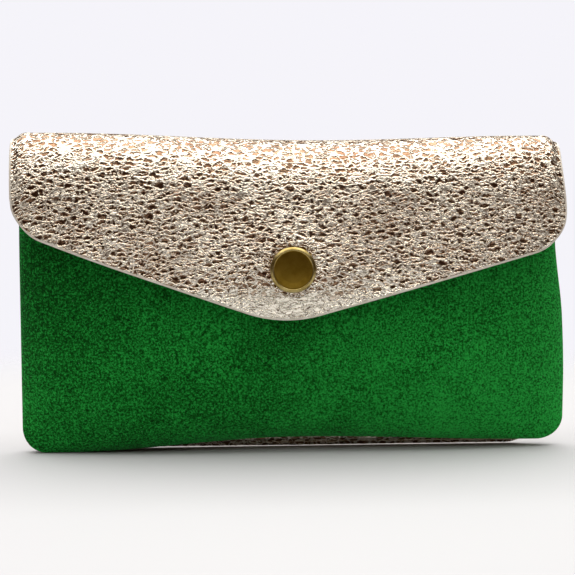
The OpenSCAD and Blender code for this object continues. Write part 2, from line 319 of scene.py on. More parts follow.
def settle(points):
    """The filled purse has pulled a little out of true, in smooth sweeps over its height z and
    cubed towards its ends: the right side leans out 2 mm at the foot and in at the top, the left
    side comes in 1.2 mm, and the fold droops between its ends and is worn at them."""
    x, y, z = points[..., 0], points[..., 1], points[..., 2]
    right, left = np.clip(x / half_w, 0, 1) ** 3, np.clip(-x / half_w, 0, 1) ** 3
    lean = 2.0 * smooth((62 - z) / 45) - 1.0 * smooth((z - 34) / 20) - 1.3 * smooth((z - 60) / 18)
    droop = -1.5 * np.cos(np.pi / 2 * np.clip((x - 4) / 62, -1, 1)) ** 2
    worn = -1.6 * smooth((np.abs(x) - half_w + 3) / 4) ** 2
    raised = (0.6 - 0.5 * x / half_w + droop + worn) * smooth((z - 48) / 27)
    return np.stack([x + right * lean + 1.2 * left, y, z + raised], axis=-1)


def sewn_rings(rings, loops, lip, face, allowance, inset=0.0):
    """Rings of a sewn panel. Outermost is the turned-in allowance, then the lip rolls round a
    quarter ellipse out to the inset, and the rest shrink towards the middle of the mouth over
    the dome. face(x, z) is the dome and lip its roll, positive for the back."""
    x, z = outline(loops)
    tangent = np.gradient(np.stack([x, z]), axis=1)
    tangent /= np.linalg.norm(tangent, axis=0)
    inward = np.stack([-tangent[1], tangent[0]])
    seam = seam_line(z)
    grid = []
    for depth in np.linspace(allowance, abs(lip), 4)[:-1]:
        at = np.stack([x, z]) + inward * depth
        grid.append([at[0], seam + math.copysign(seam_gap, lip), at[1]])
    for turn in np.radians(np.linspace(0, 90, 10))[:-1]:
        at = np.stack([x, z]) + inward * mix(abs(lip), inset, math.sin(turn))
        roll = mix(math.copysign(seam_gap, lip), lip, 1 - math.cos(turn))
        grid.append([at[0], seam + roll, at[1]])
    for share in np.linspace(0, 1, rings) ** 1.6:
        at_x, at_z = x * (1 - share), hem_z - (hem_z - z) * (1 - share)
        pulled_in = inward * inset * (1 - share)
        grid.append([at_x + pulled_in[0], face(at_x, at_z), at_z + pulled_in[1]])
    return np.array(grid).transpose(0, 2, 1)


def grid_quads(rows, columns, start=0):
    """The quads of a grid of points numbered row by row."""
    corner = (np.arange(rows - 1)[:, None] * columns + np.arange(columns - 1)).ravel() + start
    return np.stack([corner, corner + 1, corner + columns + 1, corner + columns], axis=1)


def weld(points, uv, quads):
    """Joins points in the same place, and turns quads that lose a corner into triangles."""
    _, first, back = np.unique(np.round(points, 4), axis=0, return_index=True,
                               return_inverse=True)
    quads = back.ravel()[quads]
    same = quads == np.roll(quads, -1, axis=1)
    short = quads[same.sum(axis=1) == 1]
    lost = same[same.sum(axis=1) == 1].argmax(axis=1)
    triangles = np.take_along_axis(short, (lost[:, None] + np.arange(1, 4)) % 4, 1)
    return points[first], uv[first], quads[~same.any(axis=1)], triangles


def normals_of(points, faces):
    """Vertex normals: the sum of the normals of the faces round each point, made unit long."""
    total = np.zeros_like(points)
    for group in faces:
        if len(group):
            across = points[group[:, 2]] - points[group[:, 0]]
            down = points[group[:, -1]] - points[group[:, 1]]
            for corner in group.T:
                np.add.at(total, corner, np.cross(across, down))
    return total / np.maximum(np.linalg.norm(total, axis=1, keepdims=True), 1e-9)


def rim_edges(points, faces):
    """The directed edges that belong to one face only."""
    edges = np.concatenate([np.stack([g, np.roll(g, -1, axis=1)], axis=2).reshape(-1, 2)
                            for g in faces if len(g)])
    code = edges[:, 0] * len(points) + edges[:, 1]
    return edges[~np.isin(code, edges[:, 1] * len(points) + edges[:, 0])]


def hide(name, points, uv, quads, thickness, materials, relief=0.0):
    """A piece of leather of even thickness, from the grid of its outer face, in millimetres. The
    inner face lies the thickness below along the normals, relief lifts the outer one, and every
    free edge is closed by a half round as wide as the leather. materials are those of outer face,
    inner face and cut edge."""
    relief = relief + 0 * points[:, 0]
    points, flat, quads, triangles = weld(points, np.column_stack([uv, relief]), quads)
    uv, count, normals = flat[:, :2], len(points), normals_of(points, (quads, triangles))
    inner, points = points - normals * thickness, points + normals * flat[:, 2:]
    rim = rim_edges(points, (quads, triangles))
    along = points[rim[:, 1]] - points[rim[:, 0]]
    along /= np.maximum(np.linalg.norm(along, axis=1, keepdims=True), 1e-9)
    away = np.zeros_like(points)
    for end in rim.T:
        np.add.at(away, end, np.cross(along, normals[end]))
    order, place = np.unique(rim[:, 0]), np.zeros(count, dtype=int)
    place[order] = np.arange(len(order))
    away = away[order] / np.maximum(np.linalg.norm(away[order], axis=1, keepdims=True), 1e-9)
    centre, steps = points[order] - normals[order] * thickness / 2, 4
    turn = np.radians(np.linspace(0, 180, steps + 2)[1:-1])[:, None, None]
    round_edge = centre + thickness / 2 * (normals[order] * np.cos(turn) + away * np.sin(turn))
    rows = [rim] + [place[rim] + 2 * count + step * len(order) for step in range(steps)]
    rows.append(rim + count)
    rim_quads = np.concatenate([np.stack([a[:, 1], a[:, 0], b[:, 0], b[:, 1]], axis=1)
                                for a, b in zip(rows, rows[1:])])
    faces = (quads.tolist() + triangles.tolist() + (quads[:, ::-1] + count).tolist()
             + (triangles[:, ::-1] + count).tolist() + rim_quads.tolist())
    sheet = len(quads) + len(triangles)
    region = np.repeat([0, 1, 2], [sheet, sheet, len(rim_quads)])
    return put_mesh(name, np.concatenate([points, inner, round_edge.reshape(-1, 3)]), faces,
                    materials, region, np.concatenate([uv, uv, np.tile(uv[order], (steps, 1))]))


def put_mesh(name, points, faces, materials, region=None, uv=None, sharp=45):
    """A mesh object from points in millimetres and lists of corners, smooth but for sharp edges.
    uv, one pair for each point, becomes the UV map."""
    mesh = bpy.data.meshes.new(name)
    mesh.from_pydata(points * MM, [], faces)
    for material in materials:
        mesh.materials.append(material)
    if region is not None:
        mesh.polygons.foreach_set("material_index", np.asarray(region, dtype=np.int32))
    if uv is not None:
        corner = np.empty(len(mesh.loops), dtype=np.int32)
        mesh.loops.foreach_get("vertex_index", corner)
        mesh.uv_layers.new(name="hide")
        mesh.uv_layers["hide"].data.foreach_set("uv", (uv[corner] * MM).ravel())
    mesh.shade_smooth()
    mesh.set_sharp_from_angle(angle=math.radians(sharp))
    mesh.update()
    piece = bpy.data.objects.new(name, mesh)
    bpy.context.scene.collection.objects.link(piece)
    return piece


def colour_ramp(node, join, source, stops):
    """Maps a value to colours at the given positions."""
    ramp = node("ValToRGB")
    elements = ramp.color_ramp.elements
    elements[0].position, elements[0].color = stops[0][0], (*stops[0][1], 1)
    elements[1].position, elements[1].color = stops[-1][0], (*stops[-1][1], 1)
    for position, colour in stops[1:-1]:
        elements.new(position).color = (*colour, 1)
    join(source, ramp.inputs[0])
    return ramp.outputs[0]


def suede(name, dark, mid, light, fleck):
    """Napped leather: clouds in the pile, painted light that makes it lighter towards the bottom and
    the right and painted shade towards the top under the flap, a fine speckle of fibre ends, and a
    soft sheen where the pile is seen edge on."""
    material, node, join = new_material(name)
    place = node("TexCoord").outputs["Object"]
    clouds = node("TexNoise", Scale=42.0, Detail=3.0, Roughness=0.55, Distortion=0.4)
    grain = node("TexNoise", Scale=1900.0, Detail=3.0, Roughness=0.8)
    fibre = node("TexNoise", Scale=3200.0, Detail=2.0, Roughness=0.7)
    stray = node("TexVoronoi", Scale=420.0, Randomness=1.0)
    for texture in (clouds, grain, fibre, stray):
        join(place, texture.inputs["Vector"])
    across = node("SeparateXYZ")
    join(place, across.inputs[0])
    # Painted light and shade: the tone rises in a straight slope across the panel, lighter towards the
    # bottom and the right, darker towards the top under the flap.
    painted_light_slope = combine(node, join, "MULTIPLY", across.outputs["Z"], -0.9)
    painted_light_slope = combine(node, join, "MULTIPLY_ADD", across.outputs["X"], 0.9, painted_light_slope)
    tone = combine(node, join, "MULTIPLY_ADD", clouds.outputs[0], 0.26, painted_light_slope)
    tone = combine(node, join, "MULTIPLY_ADD", grain.outputs[0], 1.5, tone)
    base = colour_ramp(node, join, tone, [(0.66, dark), (0.82, mid), (1.0, light)])
    speck = combine(node, join, "LESS_THAN", stray.outputs["Distance"], 0.045)
    lint = node("Mix", data_type="RGBA")
    lint.inputs["B"].default_value = (*fleck, 1)
    join(speck, lint.inputs["Factor"])
    join(base, lint.inputs["A"])
    pile = combine(node, join, "ADD", grain.outputs[0], fibre.outputs[0])
    surfaced(node, join, lint.outputs["Result"], pile, 0.9, 0.00035, Roughness=0.95,
             Sheen_Weight=0.35, Sheen_Roughness=0.35, Sheen_Tint=(0.25, 0.95, 0.35, 1),
             Specular_IOR_Level=0.05)
    return material


green_suede = suede("green_suede", (0.0014, 0.034, 0.003), (0.005, 0.140, 0.013),
                    (0.024, 0.430, 0.058), (0.12, 0.42, 0.16))

loops, rings = 420, 56
front_grid = sewn_rings(rings, loops, -front_lip, front_face, seam_allowance)
hem_turn, hem_rows = 5.0, 10


def turned_hem(edge, fullness):
    """Beyond a mouth edge the suede goes over a half circle, 2 mm across where fullness is 1 and
    0.9 mm at the sides, and down inside by the hem's turn."""
    radius = mix(0.45, 1.0, fullness)[:, None]
    turn = np.concatenate([np.radians(np.linspace(0, 180, hem_rows)[1:]), [math.pi]])
    drop = np.concatenate([np.zeros(hem_rows - 1), [hem_turn]])
    x = edge[:, :1] + 0 * turn
    y = edge[:, 1:2] + radius * (1 - np.cos(turn))
    z = edge[:, 2:] + radius * np.sin(turn) - drop
    return np.stack([x, y, z], axis=2)


ring_share = np.clip((np.arange(front_grid.shape[0]) - 10) / 20, 0, 1)
left_hem = turned_hem(front_grid[:, 0], ring_share)[:, ::-1]
right_hem = turned_hem(front_grid[:, -1], ring_share)
front_grid = np.concatenate([left_hem, front_grid, right_hem], axis=1)
front_grid = settle(front_grid) + [0, mid_y, 0]
points = front_grid.reshape(-1, 3)
front = hide("suede_front", points, points[:, [0, 2]],
             grid_quads(*front_grid.shape[:2]), suede_t - 0.05,
             [green_suede, green_suede, green_suede])
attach(front, "pouch")
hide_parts("front_panel")


# ---- The metallic leather -------------------------------------------------------------------
# One piece of pebbled leather with a champagne foil: the back, the fold over the mouth and the
# flap, with raw cut edges. It is two meshes that meet along the top of the fold, where both turn
# with the fold.
half_flap = box_mm("flap")[1][0]
back_inset = 0.8
snap_centre = (box_mm("snap_cap")[0] + box_mm("snap_cap")[1]) / 2
snap_z = snap_centre[2]
cap_t = 1.5
stud_stand = mid_y - front_bulge - box_mm("snap_cap")[0][1] - cap_t - leather_t


def back_face(x, z):
    """y of the back: from the seam lip back by the bulge, which flattens out below the fold."""
    full = mix(back_bulge, fold_r, shoulder(z))
    ripple = slack(x + 40, z + 9) * (1 - shoulder(z))
    return mix(seam_line(z) + back_lip, full + ripple, openness(x, z))


def metallic_leather(name):
    """Foiled pebble grain: irregular cells stretched along the width and pulled into slanting
    lines. The foil keeps its pale colour on the crests and is painted brown between them as
    painted shade, and is painted paler at the flap's tip as a painted highlight. The pattern
    follows the leather's own flat measure, so it doesn't slide when the flap turns."""
    material, node, join = new_material(name)
    flat = node("UVMap", uv_map="hide").outputs[0]
    warp = node("TexNoise", Scale=620.0, Detail=2.0, Roughness=0.6)
    join(flat, warp.inputs["Vector"])
    spread = node("VectorMath", operation="MULTIPLY_ADD")
    spread.inputs[1].default_value = (0.0022, 0.0018, 0)
    join(warp.outputs["Color"], spread.inputs[0])
    join(flat, spread.inputs[2])
    lie = node("Mapping")
    lie.inputs["Rotation"].default_value = (0, 0, math.radians(12))
    lie.inputs["Scale"].default_value = (0.46, 1.0, 1.0)
    join(spread.outputs[0], lie.inputs["Vector"])
    pebble = node("TexVoronoi", feature="DISTANCE_TO_EDGE", Scale=880.0, Randomness=1.0)
    wrinkle = node("TexNoise", Scale=640.0, Detail=2.0, Roughness=0.5)
    crimp = node("TexNoise", Scale=980.0, Detail=1.0, Roughness=0.5)
    tilt = node("TexNoise", Scale=430.0, Detail=2.0, Roughness=0.55)
    fine = node("TexNoise", Scale=2600.0, Detail=3.0, Roughness=0.7)
    patches = node("TexNoise", Scale=70.0, Detail=2.0, Roughness=0.5)
    for texture in (pebble, wrinkle, crimp, tilt, fine):
        join(lie.outputs[0], texture.inputs["Vector"])
    join(flat, patches.inputs["Vector"])

    def shaped(source, low, high):
        rise = node("MapRange", interpolation_type="SMOOTHSTEP")
        rise.inputs["From Min"].default_value = low
        rise.inputs["From Max"].default_value = high
        join(source, rise.inputs["Value"])
        return rise.outputs[0]

    def sum_of(operation, *values):
        return combine(node, join, operation, *values)

    edge = sum_of("SUBTRACT", 1.0, shaped(pebble.outputs["Distance"], 0.0, 0.17))
    swell = sum_of("SUBTRACT", 1.0, shaped(pebble.outputs["Distance"], 0.0, 0.30))
    apart = sum_of("ABSOLUTE", sum_of("SUBTRACT", wrinkle.outputs[0], 0.5))
    crease = sum_of("SUBTRACT", 1.0, shaped(apart, 0.0, 0.036))
    apart = sum_of("ABSOLUTE", sum_of("SUBTRACT", crimp.outputs[0], 0.5))
    small_crease = sum_of("SUBTRACT", 1.0, shaped(apart, 0.0, 0.05))
    crest = sum_of("MAXIMUM", edge, crease)
    height = sum_of("MULTIPLY_ADD", swell, 0.7, sum_of("MULTIPLY", crest, 0.8))
    height = sum_of("MULTIPLY_ADD", small_crease, 0.25, height)
    height = sum_of("MULTIPLY_ADD", tilt.outputs[0], 0.7, height)
    height = sum_of("MULTIPLY_ADD", fine.outputs[0], 0.12, height)
    # Painted shade: the cells and folds between the crests are coloured brown, and the crests keep the
    # pale foil.
    tone = sum_of("MULTIPLY_ADD", patches.outputs[0], 0.50, sum_of("MULTIPLY", crest, 0.68))
    tone = sum_of("MULTIPLY_ADD", tilt.outputs[0], 0.35, tone)
    run = node("SeparateXYZ")
    join(flat, run.inputs[0])
    # Painted highlight: the foil is made paler towards the flap's tip, by its place down the leather.
    painted_tip_highlight = shaped(run.outputs["Y"], 0.123, 0.133)
    tone = sum_of("MULTIPLY_ADD", painted_tip_highlight, 0.80, tone)
    foil = colour_ramp(node, join, tone, [(0.38, (0.21, 0.115, 0.066)), (0.62, (0.34, 0.225, 0.138)),
                                          (1.0, (0.98, 0.91, 0.77))])
    shader = surfaced(node, join, foil, height, 1.0, 0.00015)
    for socket, in_folds, on_crests in (("Roughness", 0.16, 0.27), ("Metallic", 1.0, 0.90)):
        worn = node("MapRange")
        worn.inputs["To Min"].default_value = in_folds
        worn.inputs["To Max"].default_value = on_crests
        join(crest, worn.inputs["Value"])
        join(worn.outputs[0], shader.inputs[socket])
    return material


def raw_leather(name, dark, light, roughness, grain_scale):
    """Undyed fibre side or cut edge of leather: pale beige, matt and slightly furry."""
    material, node, join = new_material(name)
    place = node("UVMap", uv_map="hide").outputs[0]
    grain = node("TexNoise", Scale=grain_scale, Detail=5.0, Roughness=0.75)
    cloud = node("TexNoise", Scale=grain_scale / 12, Detail=2.0)
    join(place, grain.inputs["Vector"])
    join(place, cloud.inputs["Vector"])
    both = combine(node, join, "ADD", grain.outputs[0], cloud.outputs[0])
    tone = combine(node, join, "MULTIPLY", both, 0.5)
    colour = colour_ramp(node, join, tone, [(0.36, dark), (0.64, light)])
    surfaced(node, join, colour, grain.outputs[0], 0.6, 0.0002, Roughness=roughness,
             Sheen_Weight=0.25, Sheen_Roughness=0.5)
    return material


def crinkle(x, run):
    """Low relief of the grain in millimetres: three slanting sines whose phases are bent by each
    other, folded at zero into ridges, 1 to 2 mm apart down the leather and 3 to 4 mm across."""
    bend = 1.3 * np.sin(run / 1.9 + 0.8 * np.sin(x / 3.1)) + 0.9 * np.sin(x / 5.3 - run / 4.1)
    first = np.sin(x * 0.75 + run * 2.1 + bend)
    second = np.sin(x * 1.15 - run * 1.7 + 1.4 * np.sin(x / 2.7 + run / 3.3) + 2.0)
    third = np.sin(run * 2.9 + 1.8 * np.sin(x / 1.9 + 0.6) + bend / 2)
    return 0.16 - 0.05 * np.abs(first) - 0.045 * np.abs(second) - 0.03 * np.abs(third)


foil_leather = metallic_leather("champagne_foil_leather")
flesh_side = raw_leather("flesh_side", (0.50, 0.37, 0.25), (0.72, 0.59, 0.44), 0.95, 1500.0)
cut_edge = raw_leather("cut_edge", (0.80, 0.70, 0.56), (0.97, 0.92, 0.82), 0.9, 2600.0)
gold_set = [foil_leather, flesh_side, cut_edge]

back_grid = sewn_rings(rings, loops, back_lip, back_face, seam_allowance, inset=back_inset)
lip_rows = back_grid.shape[0] - rings
above_seam = back_grid[..., 2] - bottom_arch(back_grid[..., 0]) * (1 - back_grid[..., 2] / hem_z)
hang = smooth(above_seam / 2.5) * (1 - smooth((above_seam - 2.5) / 14))
hang[:lip_rows] = 0
back_grid[..., 2] -= (bottom_arch(back_grid[..., 0]) + 1.9) * hang * smooth(
    (half_w - 3 - np.abs(back_grid[..., 0])) / 10)
mouth_row = np.concatenate([back_grid[lip_rows:, 0], back_grid[lip_rows:, -1][-2::-1]])


def flared(x, z):
    """Above the mouth the cut edges spread to the width of the flap."""
    return x * mix(1, half_flap / (half_w - back_inset), smooth((z - hem_z) / (fold_z - hem_z)))


upper = []
flare_top = np.linspace(hem_z, fold_z, 12)[1:]
arc_back = np.radians(np.linspace(0, 90, 15)[1:])
depth_at_mouth = mouth_row[:, 1] - back_face(mouth_row[:, 0], mouth_row[:, 2])
for z in flare_top:
    fade = 1 - smooth((z - hem_z) / (fold_z - hem_z))
    x = mouth_row[:, 0]
    upper.append(np.stack([flared(x, z), back_face(x, z + 0 * x) + depth_at_mouth * fade,
                           z + 0 * x], axis=1))
for angle in arc_back:
    x = flared(mouth_row[:, 0], fold_z)
    upper.append(np.stack([x, fold_r * math.cos(angle) + 0 * x,
                           fold_z + fold_r * math.sin(angle) + 0 * x], axis=1))
upper = np.array([mouth_row] + upper)
back_points = np.concatenate([back_grid.reshape(-1, 3), upper.reshape(-1, 3)])
back_quads = np.concatenate([grid_quads(*back_grid.shape[:2])[:, ::-1],
                             grid_quads(*upper.shape[:2], start=len(back_grid) * loops)[:, ::-1]])
along_leather = np.where(back_points[:, 2] > fold_z,
                         fold_z + fold_r * np.arctan2(back_points[:, 2] - fold_z,
                                                      np.maximum(back_points[:, 1], 1e-6)),
                         back_points[:, 2])
back_uv = np.stack([back_points[:, 0], along_leather], axis=1)
back_relief = crinkle(*back_uv.T) * smooth((fold_z + fold_r * math.pi / 2 - back_uv[:, 1]) / 6)
back_relief = back_relief * smooth((back_points[:, 1] - seam_line(back_points[:, 2])) / 2)
back_points = settle(back_points)
back = hide("metallic_back", back_points + [0, mid_y, 0], back_uv, back_quads, leather_t,
            gold_set, back_relief)
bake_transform(back)
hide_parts("back_panel")


# The flap is cut with straight sides, round side corners and a blunt round tip. It hangs a little
# askew, lower on the right, and its tip curls in below the snap, which holds it off the body.
flap_drop, flap_slope, tip_r, flap_corner_r = 44.6, math.radians(17.1), 31.0, 11.0
flap_skew, tip_shift = 0.028, -2.0


def flap_edge(x):
    """Distance from the top of the fold down to the cut edge: a circle at the tip, straight
    slopes, and a quarter circle at each side corner, with a straight skew across."""
    x_tip = x - tip_shift * (1 - (x / half_flap) ** 2)
    a = np.abs(x_tip)
    start = tip_r * math.sin(flap_slope)
    slope_top = flap_drop - tip_r + tip_r * math.cos(flap_slope)
    apex = slope_top - math.tan(flap_slope) * (half_flap - start)
    run = flap_corner_r * math.tan((math.pi / 2 - flap_slope) / 2)
    end = half_flap - run * math.cos(flap_slope)
    tip = flap_drop - tip_r + np.sqrt(np.clip(tip_r ** 2 - a ** 2, 0, None))
    slope = slope_top - math.tan(flap_slope) * (a - start)
    corner = apex - run + np.sqrt(np.clip(
        flap_corner_r ** 2 - np.clip(a - half_flap + flap_corner_r, 0, None) ** 2, 0, None))
    return np.select([a < start, a < end], [tip, slope], corner) + flap_skew * x


def flap_depth(x, z):
    """How far the flap's inner face lies in front of the middle plane. It follows the bulge with
    some slack, falls back towards its sides, and stands off round the snap by one over one plus
    a power of the distance, more steeply below it so that the tip curls in. Long waves run over
    it, and a low swell goes round the cap."""
    hold = np.where(z < snap_z, 10.0, 17.0)
    stand = mix(0.8, stud_stand, 1 / (1 + np.hypot(x / 17, (z - snap_z) / hold) ** 3.5))
    side_fall = 0.62 * np.abs(x / half_flap) ** 2.7
    full = mix(front_bulge + stand, fold_r - leather_t, side_fall)
    from_snap = np.hypot(x, z - snap_z)
    waves = 0.22 * np.sin(x / 12 + 0.5) + 0.16 * np.sin(x / 7 - z / 9 + 1.0)
    swell = 0.35 * np.exp(-((from_snap - 7.2) / 2.2) ** 2)
    return full + waves * smooth((from_snap - 9) / 14) + swell


cap_r = (box_mm("snap_cap")[1][0] - box_mm("snap_cap")[0][0]) / 2

flap_columns = half_flap * np.sin(np.linspace(-math.pi / 2, math.pi / 2, 341))
flap_columns = mix(flap_columns, np.linspace(-half_flap, half_flap, 341), 0.7)
turn_end_z = 66.0
flap_rows = []
for angle in np.radians(np.linspace(90, 180, 24)):
    reach = flap_depth(flap_columns, turn_end_z + 0 * flap_columns) + leather_t
    flap_rows.append([flap_columns, reach * math.cos(angle),
                      mix(turn_end_z, body_top, math.sin(angle)) + 0 * flap_columns])
for share in np.linspace(0, 1, 105)[1:]:
    z = mix(turn_end_z, body_top - flap_edge(flap_columns), share)
    flap_rows.append([flap_columns, -flap_depth(flap_columns, z) - leather_t, z])
flap_grid = np.array(flap_rows).transpose(0, 2, 1)
steps = np.linalg.norm(np.diff(flap_grid[:, :, 1:], axis=0), axis=2)
length = np.concatenate([np.zeros((1, flap_grid.shape[1])), np.cumsum(steps, axis=0)])
flap_uv = np.stack([flap_grid[:, :, 0], fold_z + fold_r * math.pi / 2 + length], axis=2)
from_snap = np.hypot(flap_grid[..., 0], flap_grid[..., 2] - snap_z)
flap_relief = (crinkle(flap_uv[..., 0], flap_uv[..., 1]) * smooth(length / 6)
               * smooth((from_snap - cap_r) / 1.5))
flap_points = flap_grid.reshape(-1, 3)
flap_points = settle(flap_points)
flap = hide("metallic_flap", flap_points + [0, mid_y, 0], flap_uv.reshape(-1, 2),
            grid_quads(*flap_grid.shape[:2])[:, ::-1], leather_t, gold_set, flap_relief.ravel())
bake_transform(flap)
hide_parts("flap", "flap_fold")


# ---- The snap -------------------------------------------------------------------------------
# Stamped brass, turned about one axis. The cap shows on the flap and is antiqued, with a polished
# bevel round a faintly domed face. Socket, stud and post are plain satin brass.
def turned(name, profile, axis_y, material, sides=96):
    """A turned piece about the snap's axis. profile runs from the axis round and back to it, as
    (radius, distance out towards the front), and is carried round the axis in a circle."""
    profile = np.array(profile, dtype=float)
    angle = np.linspace(0, 2 * math.pi, sides, endpoint=False)
    ring = profile[1:-1]
    x = ring[:, :1] * np.cos(angle)
    z = snap_z + ring[:, :1] * np.sin(angle)
    y = axis_y - ring[:, 1:] + 0 * angle
    points = np.stack([x, y, z], axis=2).reshape(-1, 3)
    ends = [[0, axis_y - profile[0][1], snap_z], [0, axis_y - profile[-1][1], snap_z]]
    rows, around = len(ring), np.arange(sides)
    after = (around + 1) % sides
    start = (np.arange(rows - 1) * sides)[:, None]
    quads = np.stack([start + around, start + after, start + sides + after,
                      start + sides + around], axis=2).reshape(-1, 4)
    first = np.stack([after, around, 0 * around + len(points)], axis=1)
    last_row = (rows - 1) * sides
    last = np.stack([last_row + around, last_row + after, 0 * around + len(points) + 1], axis=1)
    return put_mesh(name, np.concatenate([points, ends]),
                    quads.tolist() + first.tolist() + last.tolist(), [material], sharp=60)


def rounded(profile, radius, steps=4):
    """A profile with each corner replaced by a short curve that starts and ends up to radius away
    along the two sides."""
    profile = [np.array(p, dtype=float) for p in profile]
    path = [profile[0]]
    for before, corner, after in zip(profile, profile[1:], profile[2:]):
        a, b = before - corner, after - corner
        reach = min(radius, np.linalg.norm(a) * 0.45, np.linalg.norm(b) * 0.45)
        a, b = corner + a / np.linalg.norm(a) * reach, corner + b / np.linalg.norm(b) * reach
        for t in np.linspace(0, 1, steps):
            path.append((1 - t) ** 2 * a + 2 * t * (1 - t) * corner + t * t * b)
    return path + [profile[-1]]


def snap_metal(name, dark, bright, low_rough, high_rough, wear_scale):
    """Metal with darker tarnish in soft patches, rubbed brighter in others, and fine scratches."""
    material, node, join = new_material(name)
    place = node("TexCoord").outputs["Object"]
    patch = node("TexNoise", Scale=wear_scale, Detail=4.0, Roughness=0.6)
    hair = node("TexNoise", Scale=wear_scale * 14, Detail=3.0, Roughness=0.7)
    join(place, patch.inputs["Vector"])
    join(place, hair.inputs["Vector"])
    colour = colour_ramp(node, join, patch.outputs[0], [(0.35, dark), (0.7, bright)])
    shader = surfaced(node, join, colour, hair.outputs[0], 0.35, 0.00006, Metallic=1.0)
    rough = node("MapRange")
    rough.inputs["To Min"].default_value = low_rough
    rough.inputs["To Max"].default_value = high_rough
    join(hair.outputs[0], rough.inputs["Value"])
    join(rough.outputs[0], shader.inputs["Roughness"])
    return material


antique_brass = snap_metal("antique_brass", (0.24, 0.145, 0.014), (0.35, 0.22, 0.03), 0.30, 0.42, 380.0)
rim_brass = snap_metal("rubbed_brass", (0.34, 0.25, 0.08), (0.58, 0.46, 0.20), 0.22, 0.34, 500.0)
plain_brass = snap_metal("satin_brass", (0.50, 0.37, 0.15), (0.68, 0.53, 0.25), 0.28, 0.40, 300.0)

cap_front = box_mm("snap_cap")[0][1]
cap_seat = cap_front + cap_t
shank_r = 1.6
cap_profile = rounded([
    (0, -leather_t - 0.75), (shank_r + 0.5, -leather_t - 0.75), (shank_r + 0.5, -leather_t - 0.5),
    (shank_r, -leather_t - 0.5), (shank_r, 0), (cap_r - 0.25, 0), (cap_r, 0.25),
    (cap_r, 0.75), (cap_r - 0.16, 1.02), (cap_r - 0.62, 1.36), (cap_r - 0.80, 1.38),
    (cap_r - 0.95, 1.24), (cap_r - 1.3, 1.26), (cap_r * 0.55, 1.40), (cap_r * 0.25, 1.47),
    (0, 1.49)], 0.12)
cap = turned("snap_cap_face", cap_profile, cap_seat, antique_brass)
cap.data.materials.append(rim_brass)
centre = np.empty(len(cap.data.polygons) * 3)
cap.data.polygons.foreach_get("center", centre)
centre = centre.reshape(-1, 3) / MM
radius = np.hypot(centre[:, 0], centre[:, 2] - snap_z)
polished = (radius > cap_r - 0.93) & (centre[:, 1] < cap_seat - 0.5)
cap.data.polygons.foreach_set("material_index", polished.astype(np.int32))
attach(cap, "flap")
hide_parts("snap_cap")

socket_low, socket_high = box_mm("snap_socket")
socket_seat = socket_low[1]
socket_depth = socket_high[1] - socket_low[1]
flange_r = (socket_high[0] - socket_low[0]) / 2
bore_r, wall_t = 3.4, 1.0
socket_profile = rounded([
    (0, -0.12), (shank_r + 0.05, -0.12), (shank_r + 0.05, 0), (flange_r, 0), (flange_r, -0.5),
    (bore_r + wall_t + 0.2, -0.55), (bore_r + wall_t, -0.8),
    (bore_r + wall_t, -socket_depth + 0.35), (bore_r + wall_t - 0.3, -socket_depth),
    (bore_r + 0.2, -socket_depth), (bore_r, -socket_depth + 0.25), (bore_r, -0.5),
    (0, -0.5)][::-1], 0.15)
socket = turned("snap_socket_ring", socket_profile, socket_seat, plain_brass)
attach(socket, "flap")
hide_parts("snap_socket")

stud_low, stud_high = box_mm("snap_stud")
stud_base = stud_high[1]
stud_h = stud_high[1] - stud_low[1]
stud_flange_r = (stud_high[0] - stud_low[0]) / 2
head_r, neck_r = 2.7, 2.1
stud_profile = rounded([
    (0, 0), (stud_flange_r, 0), (stud_flange_r, 0.3), (stud_flange_r - 0.4, 0.5),
    (neck_r + 0.3, 0.5), (neck_r, 0.8), (neck_r, 1.2), (head_r, 1.5), (head_r, stud_h - 0.4),
    (head_r - 0.5, stud_h), (shank_r, stud_h), (shank_r - 0.3, stud_h - 0.35),
    (0, stud_h - 0.35)], 0.14)
stud = turned("snap_stud_post", stud_profile, stud_base, plain_brass)
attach(stud, "pouch")
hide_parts("snap_stud", "snap_post")

post_high = box_mm("snap_post")[1][1]
post_profile = rounded([
    (0, 0), (stud_flange_r - 0.2, 0), (stud_flange_r, 0.2), (stud_flange_r, 0.5), (0, 0.5)], 0.15)
post = turned("snap_post_flange", post_profile, post_high, plain_brass)
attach(post, "pouch")

washer_low, washer_high = box_mm("snap_washer")
washer_r = (washer_high[0] - washer_low[0]) / 2
felt, node, join = new_material("felt")
fuzz = node("TexNoise", Scale=2400.0, Detail=4.0, Roughness=0.8)
join(node("TexCoord").outputs["Object"], fuzz.inputs["Vector"])
felt_colour = colour_ramp(node, join, fuzz.outputs[0], [(0.35, (0.02, 0.05, 0.025)),
                                                        (0.65, (0.06, 0.13, 0.07))])
surfaced(node, join, felt_colour, fuzz.outputs[0], 0.8, 0.0003, Roughness=1.0, Sheen_Weight=0.4)
washer_t = 0.49
washer = turned("snap_backing_washer", rounded([
    (0, 0), (washer_r, 0), (washer_r, washer_t), (0, washer_t)], 0.2), washer_high[1], felt)
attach(washer, "pouch")
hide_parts("snap_washer")

steel = snap_metal("spring_steel_wire", (0.42, 0.43, 0.45), (0.66, 0.67, 0.70), 0.22, 0.32, 900.0)
for wire in bpy.context.scene.objects:
    if wire.name == "snap_spring":
        for place in wire.material_slots:
            place.material = steel


# ---- The divider and the card pockets -------------------------------------------------------
# Thin vegetable-tanned lining leather. The divider is a full-width sheet caught in the side and
# bottom seams. Two stepped card pockets are stitched to its front round three sides.
lining = raw_leather("lining_leather", (0.30, 0.185, 0.095), (0.46, 0.31, 0.17), 0.6, 1100.0)
lining_edge = raw_leather("lining_edge", (0.36, 0.24, 0.13), (0.54, 0.39, 0.24), 0.85, 2400.0)

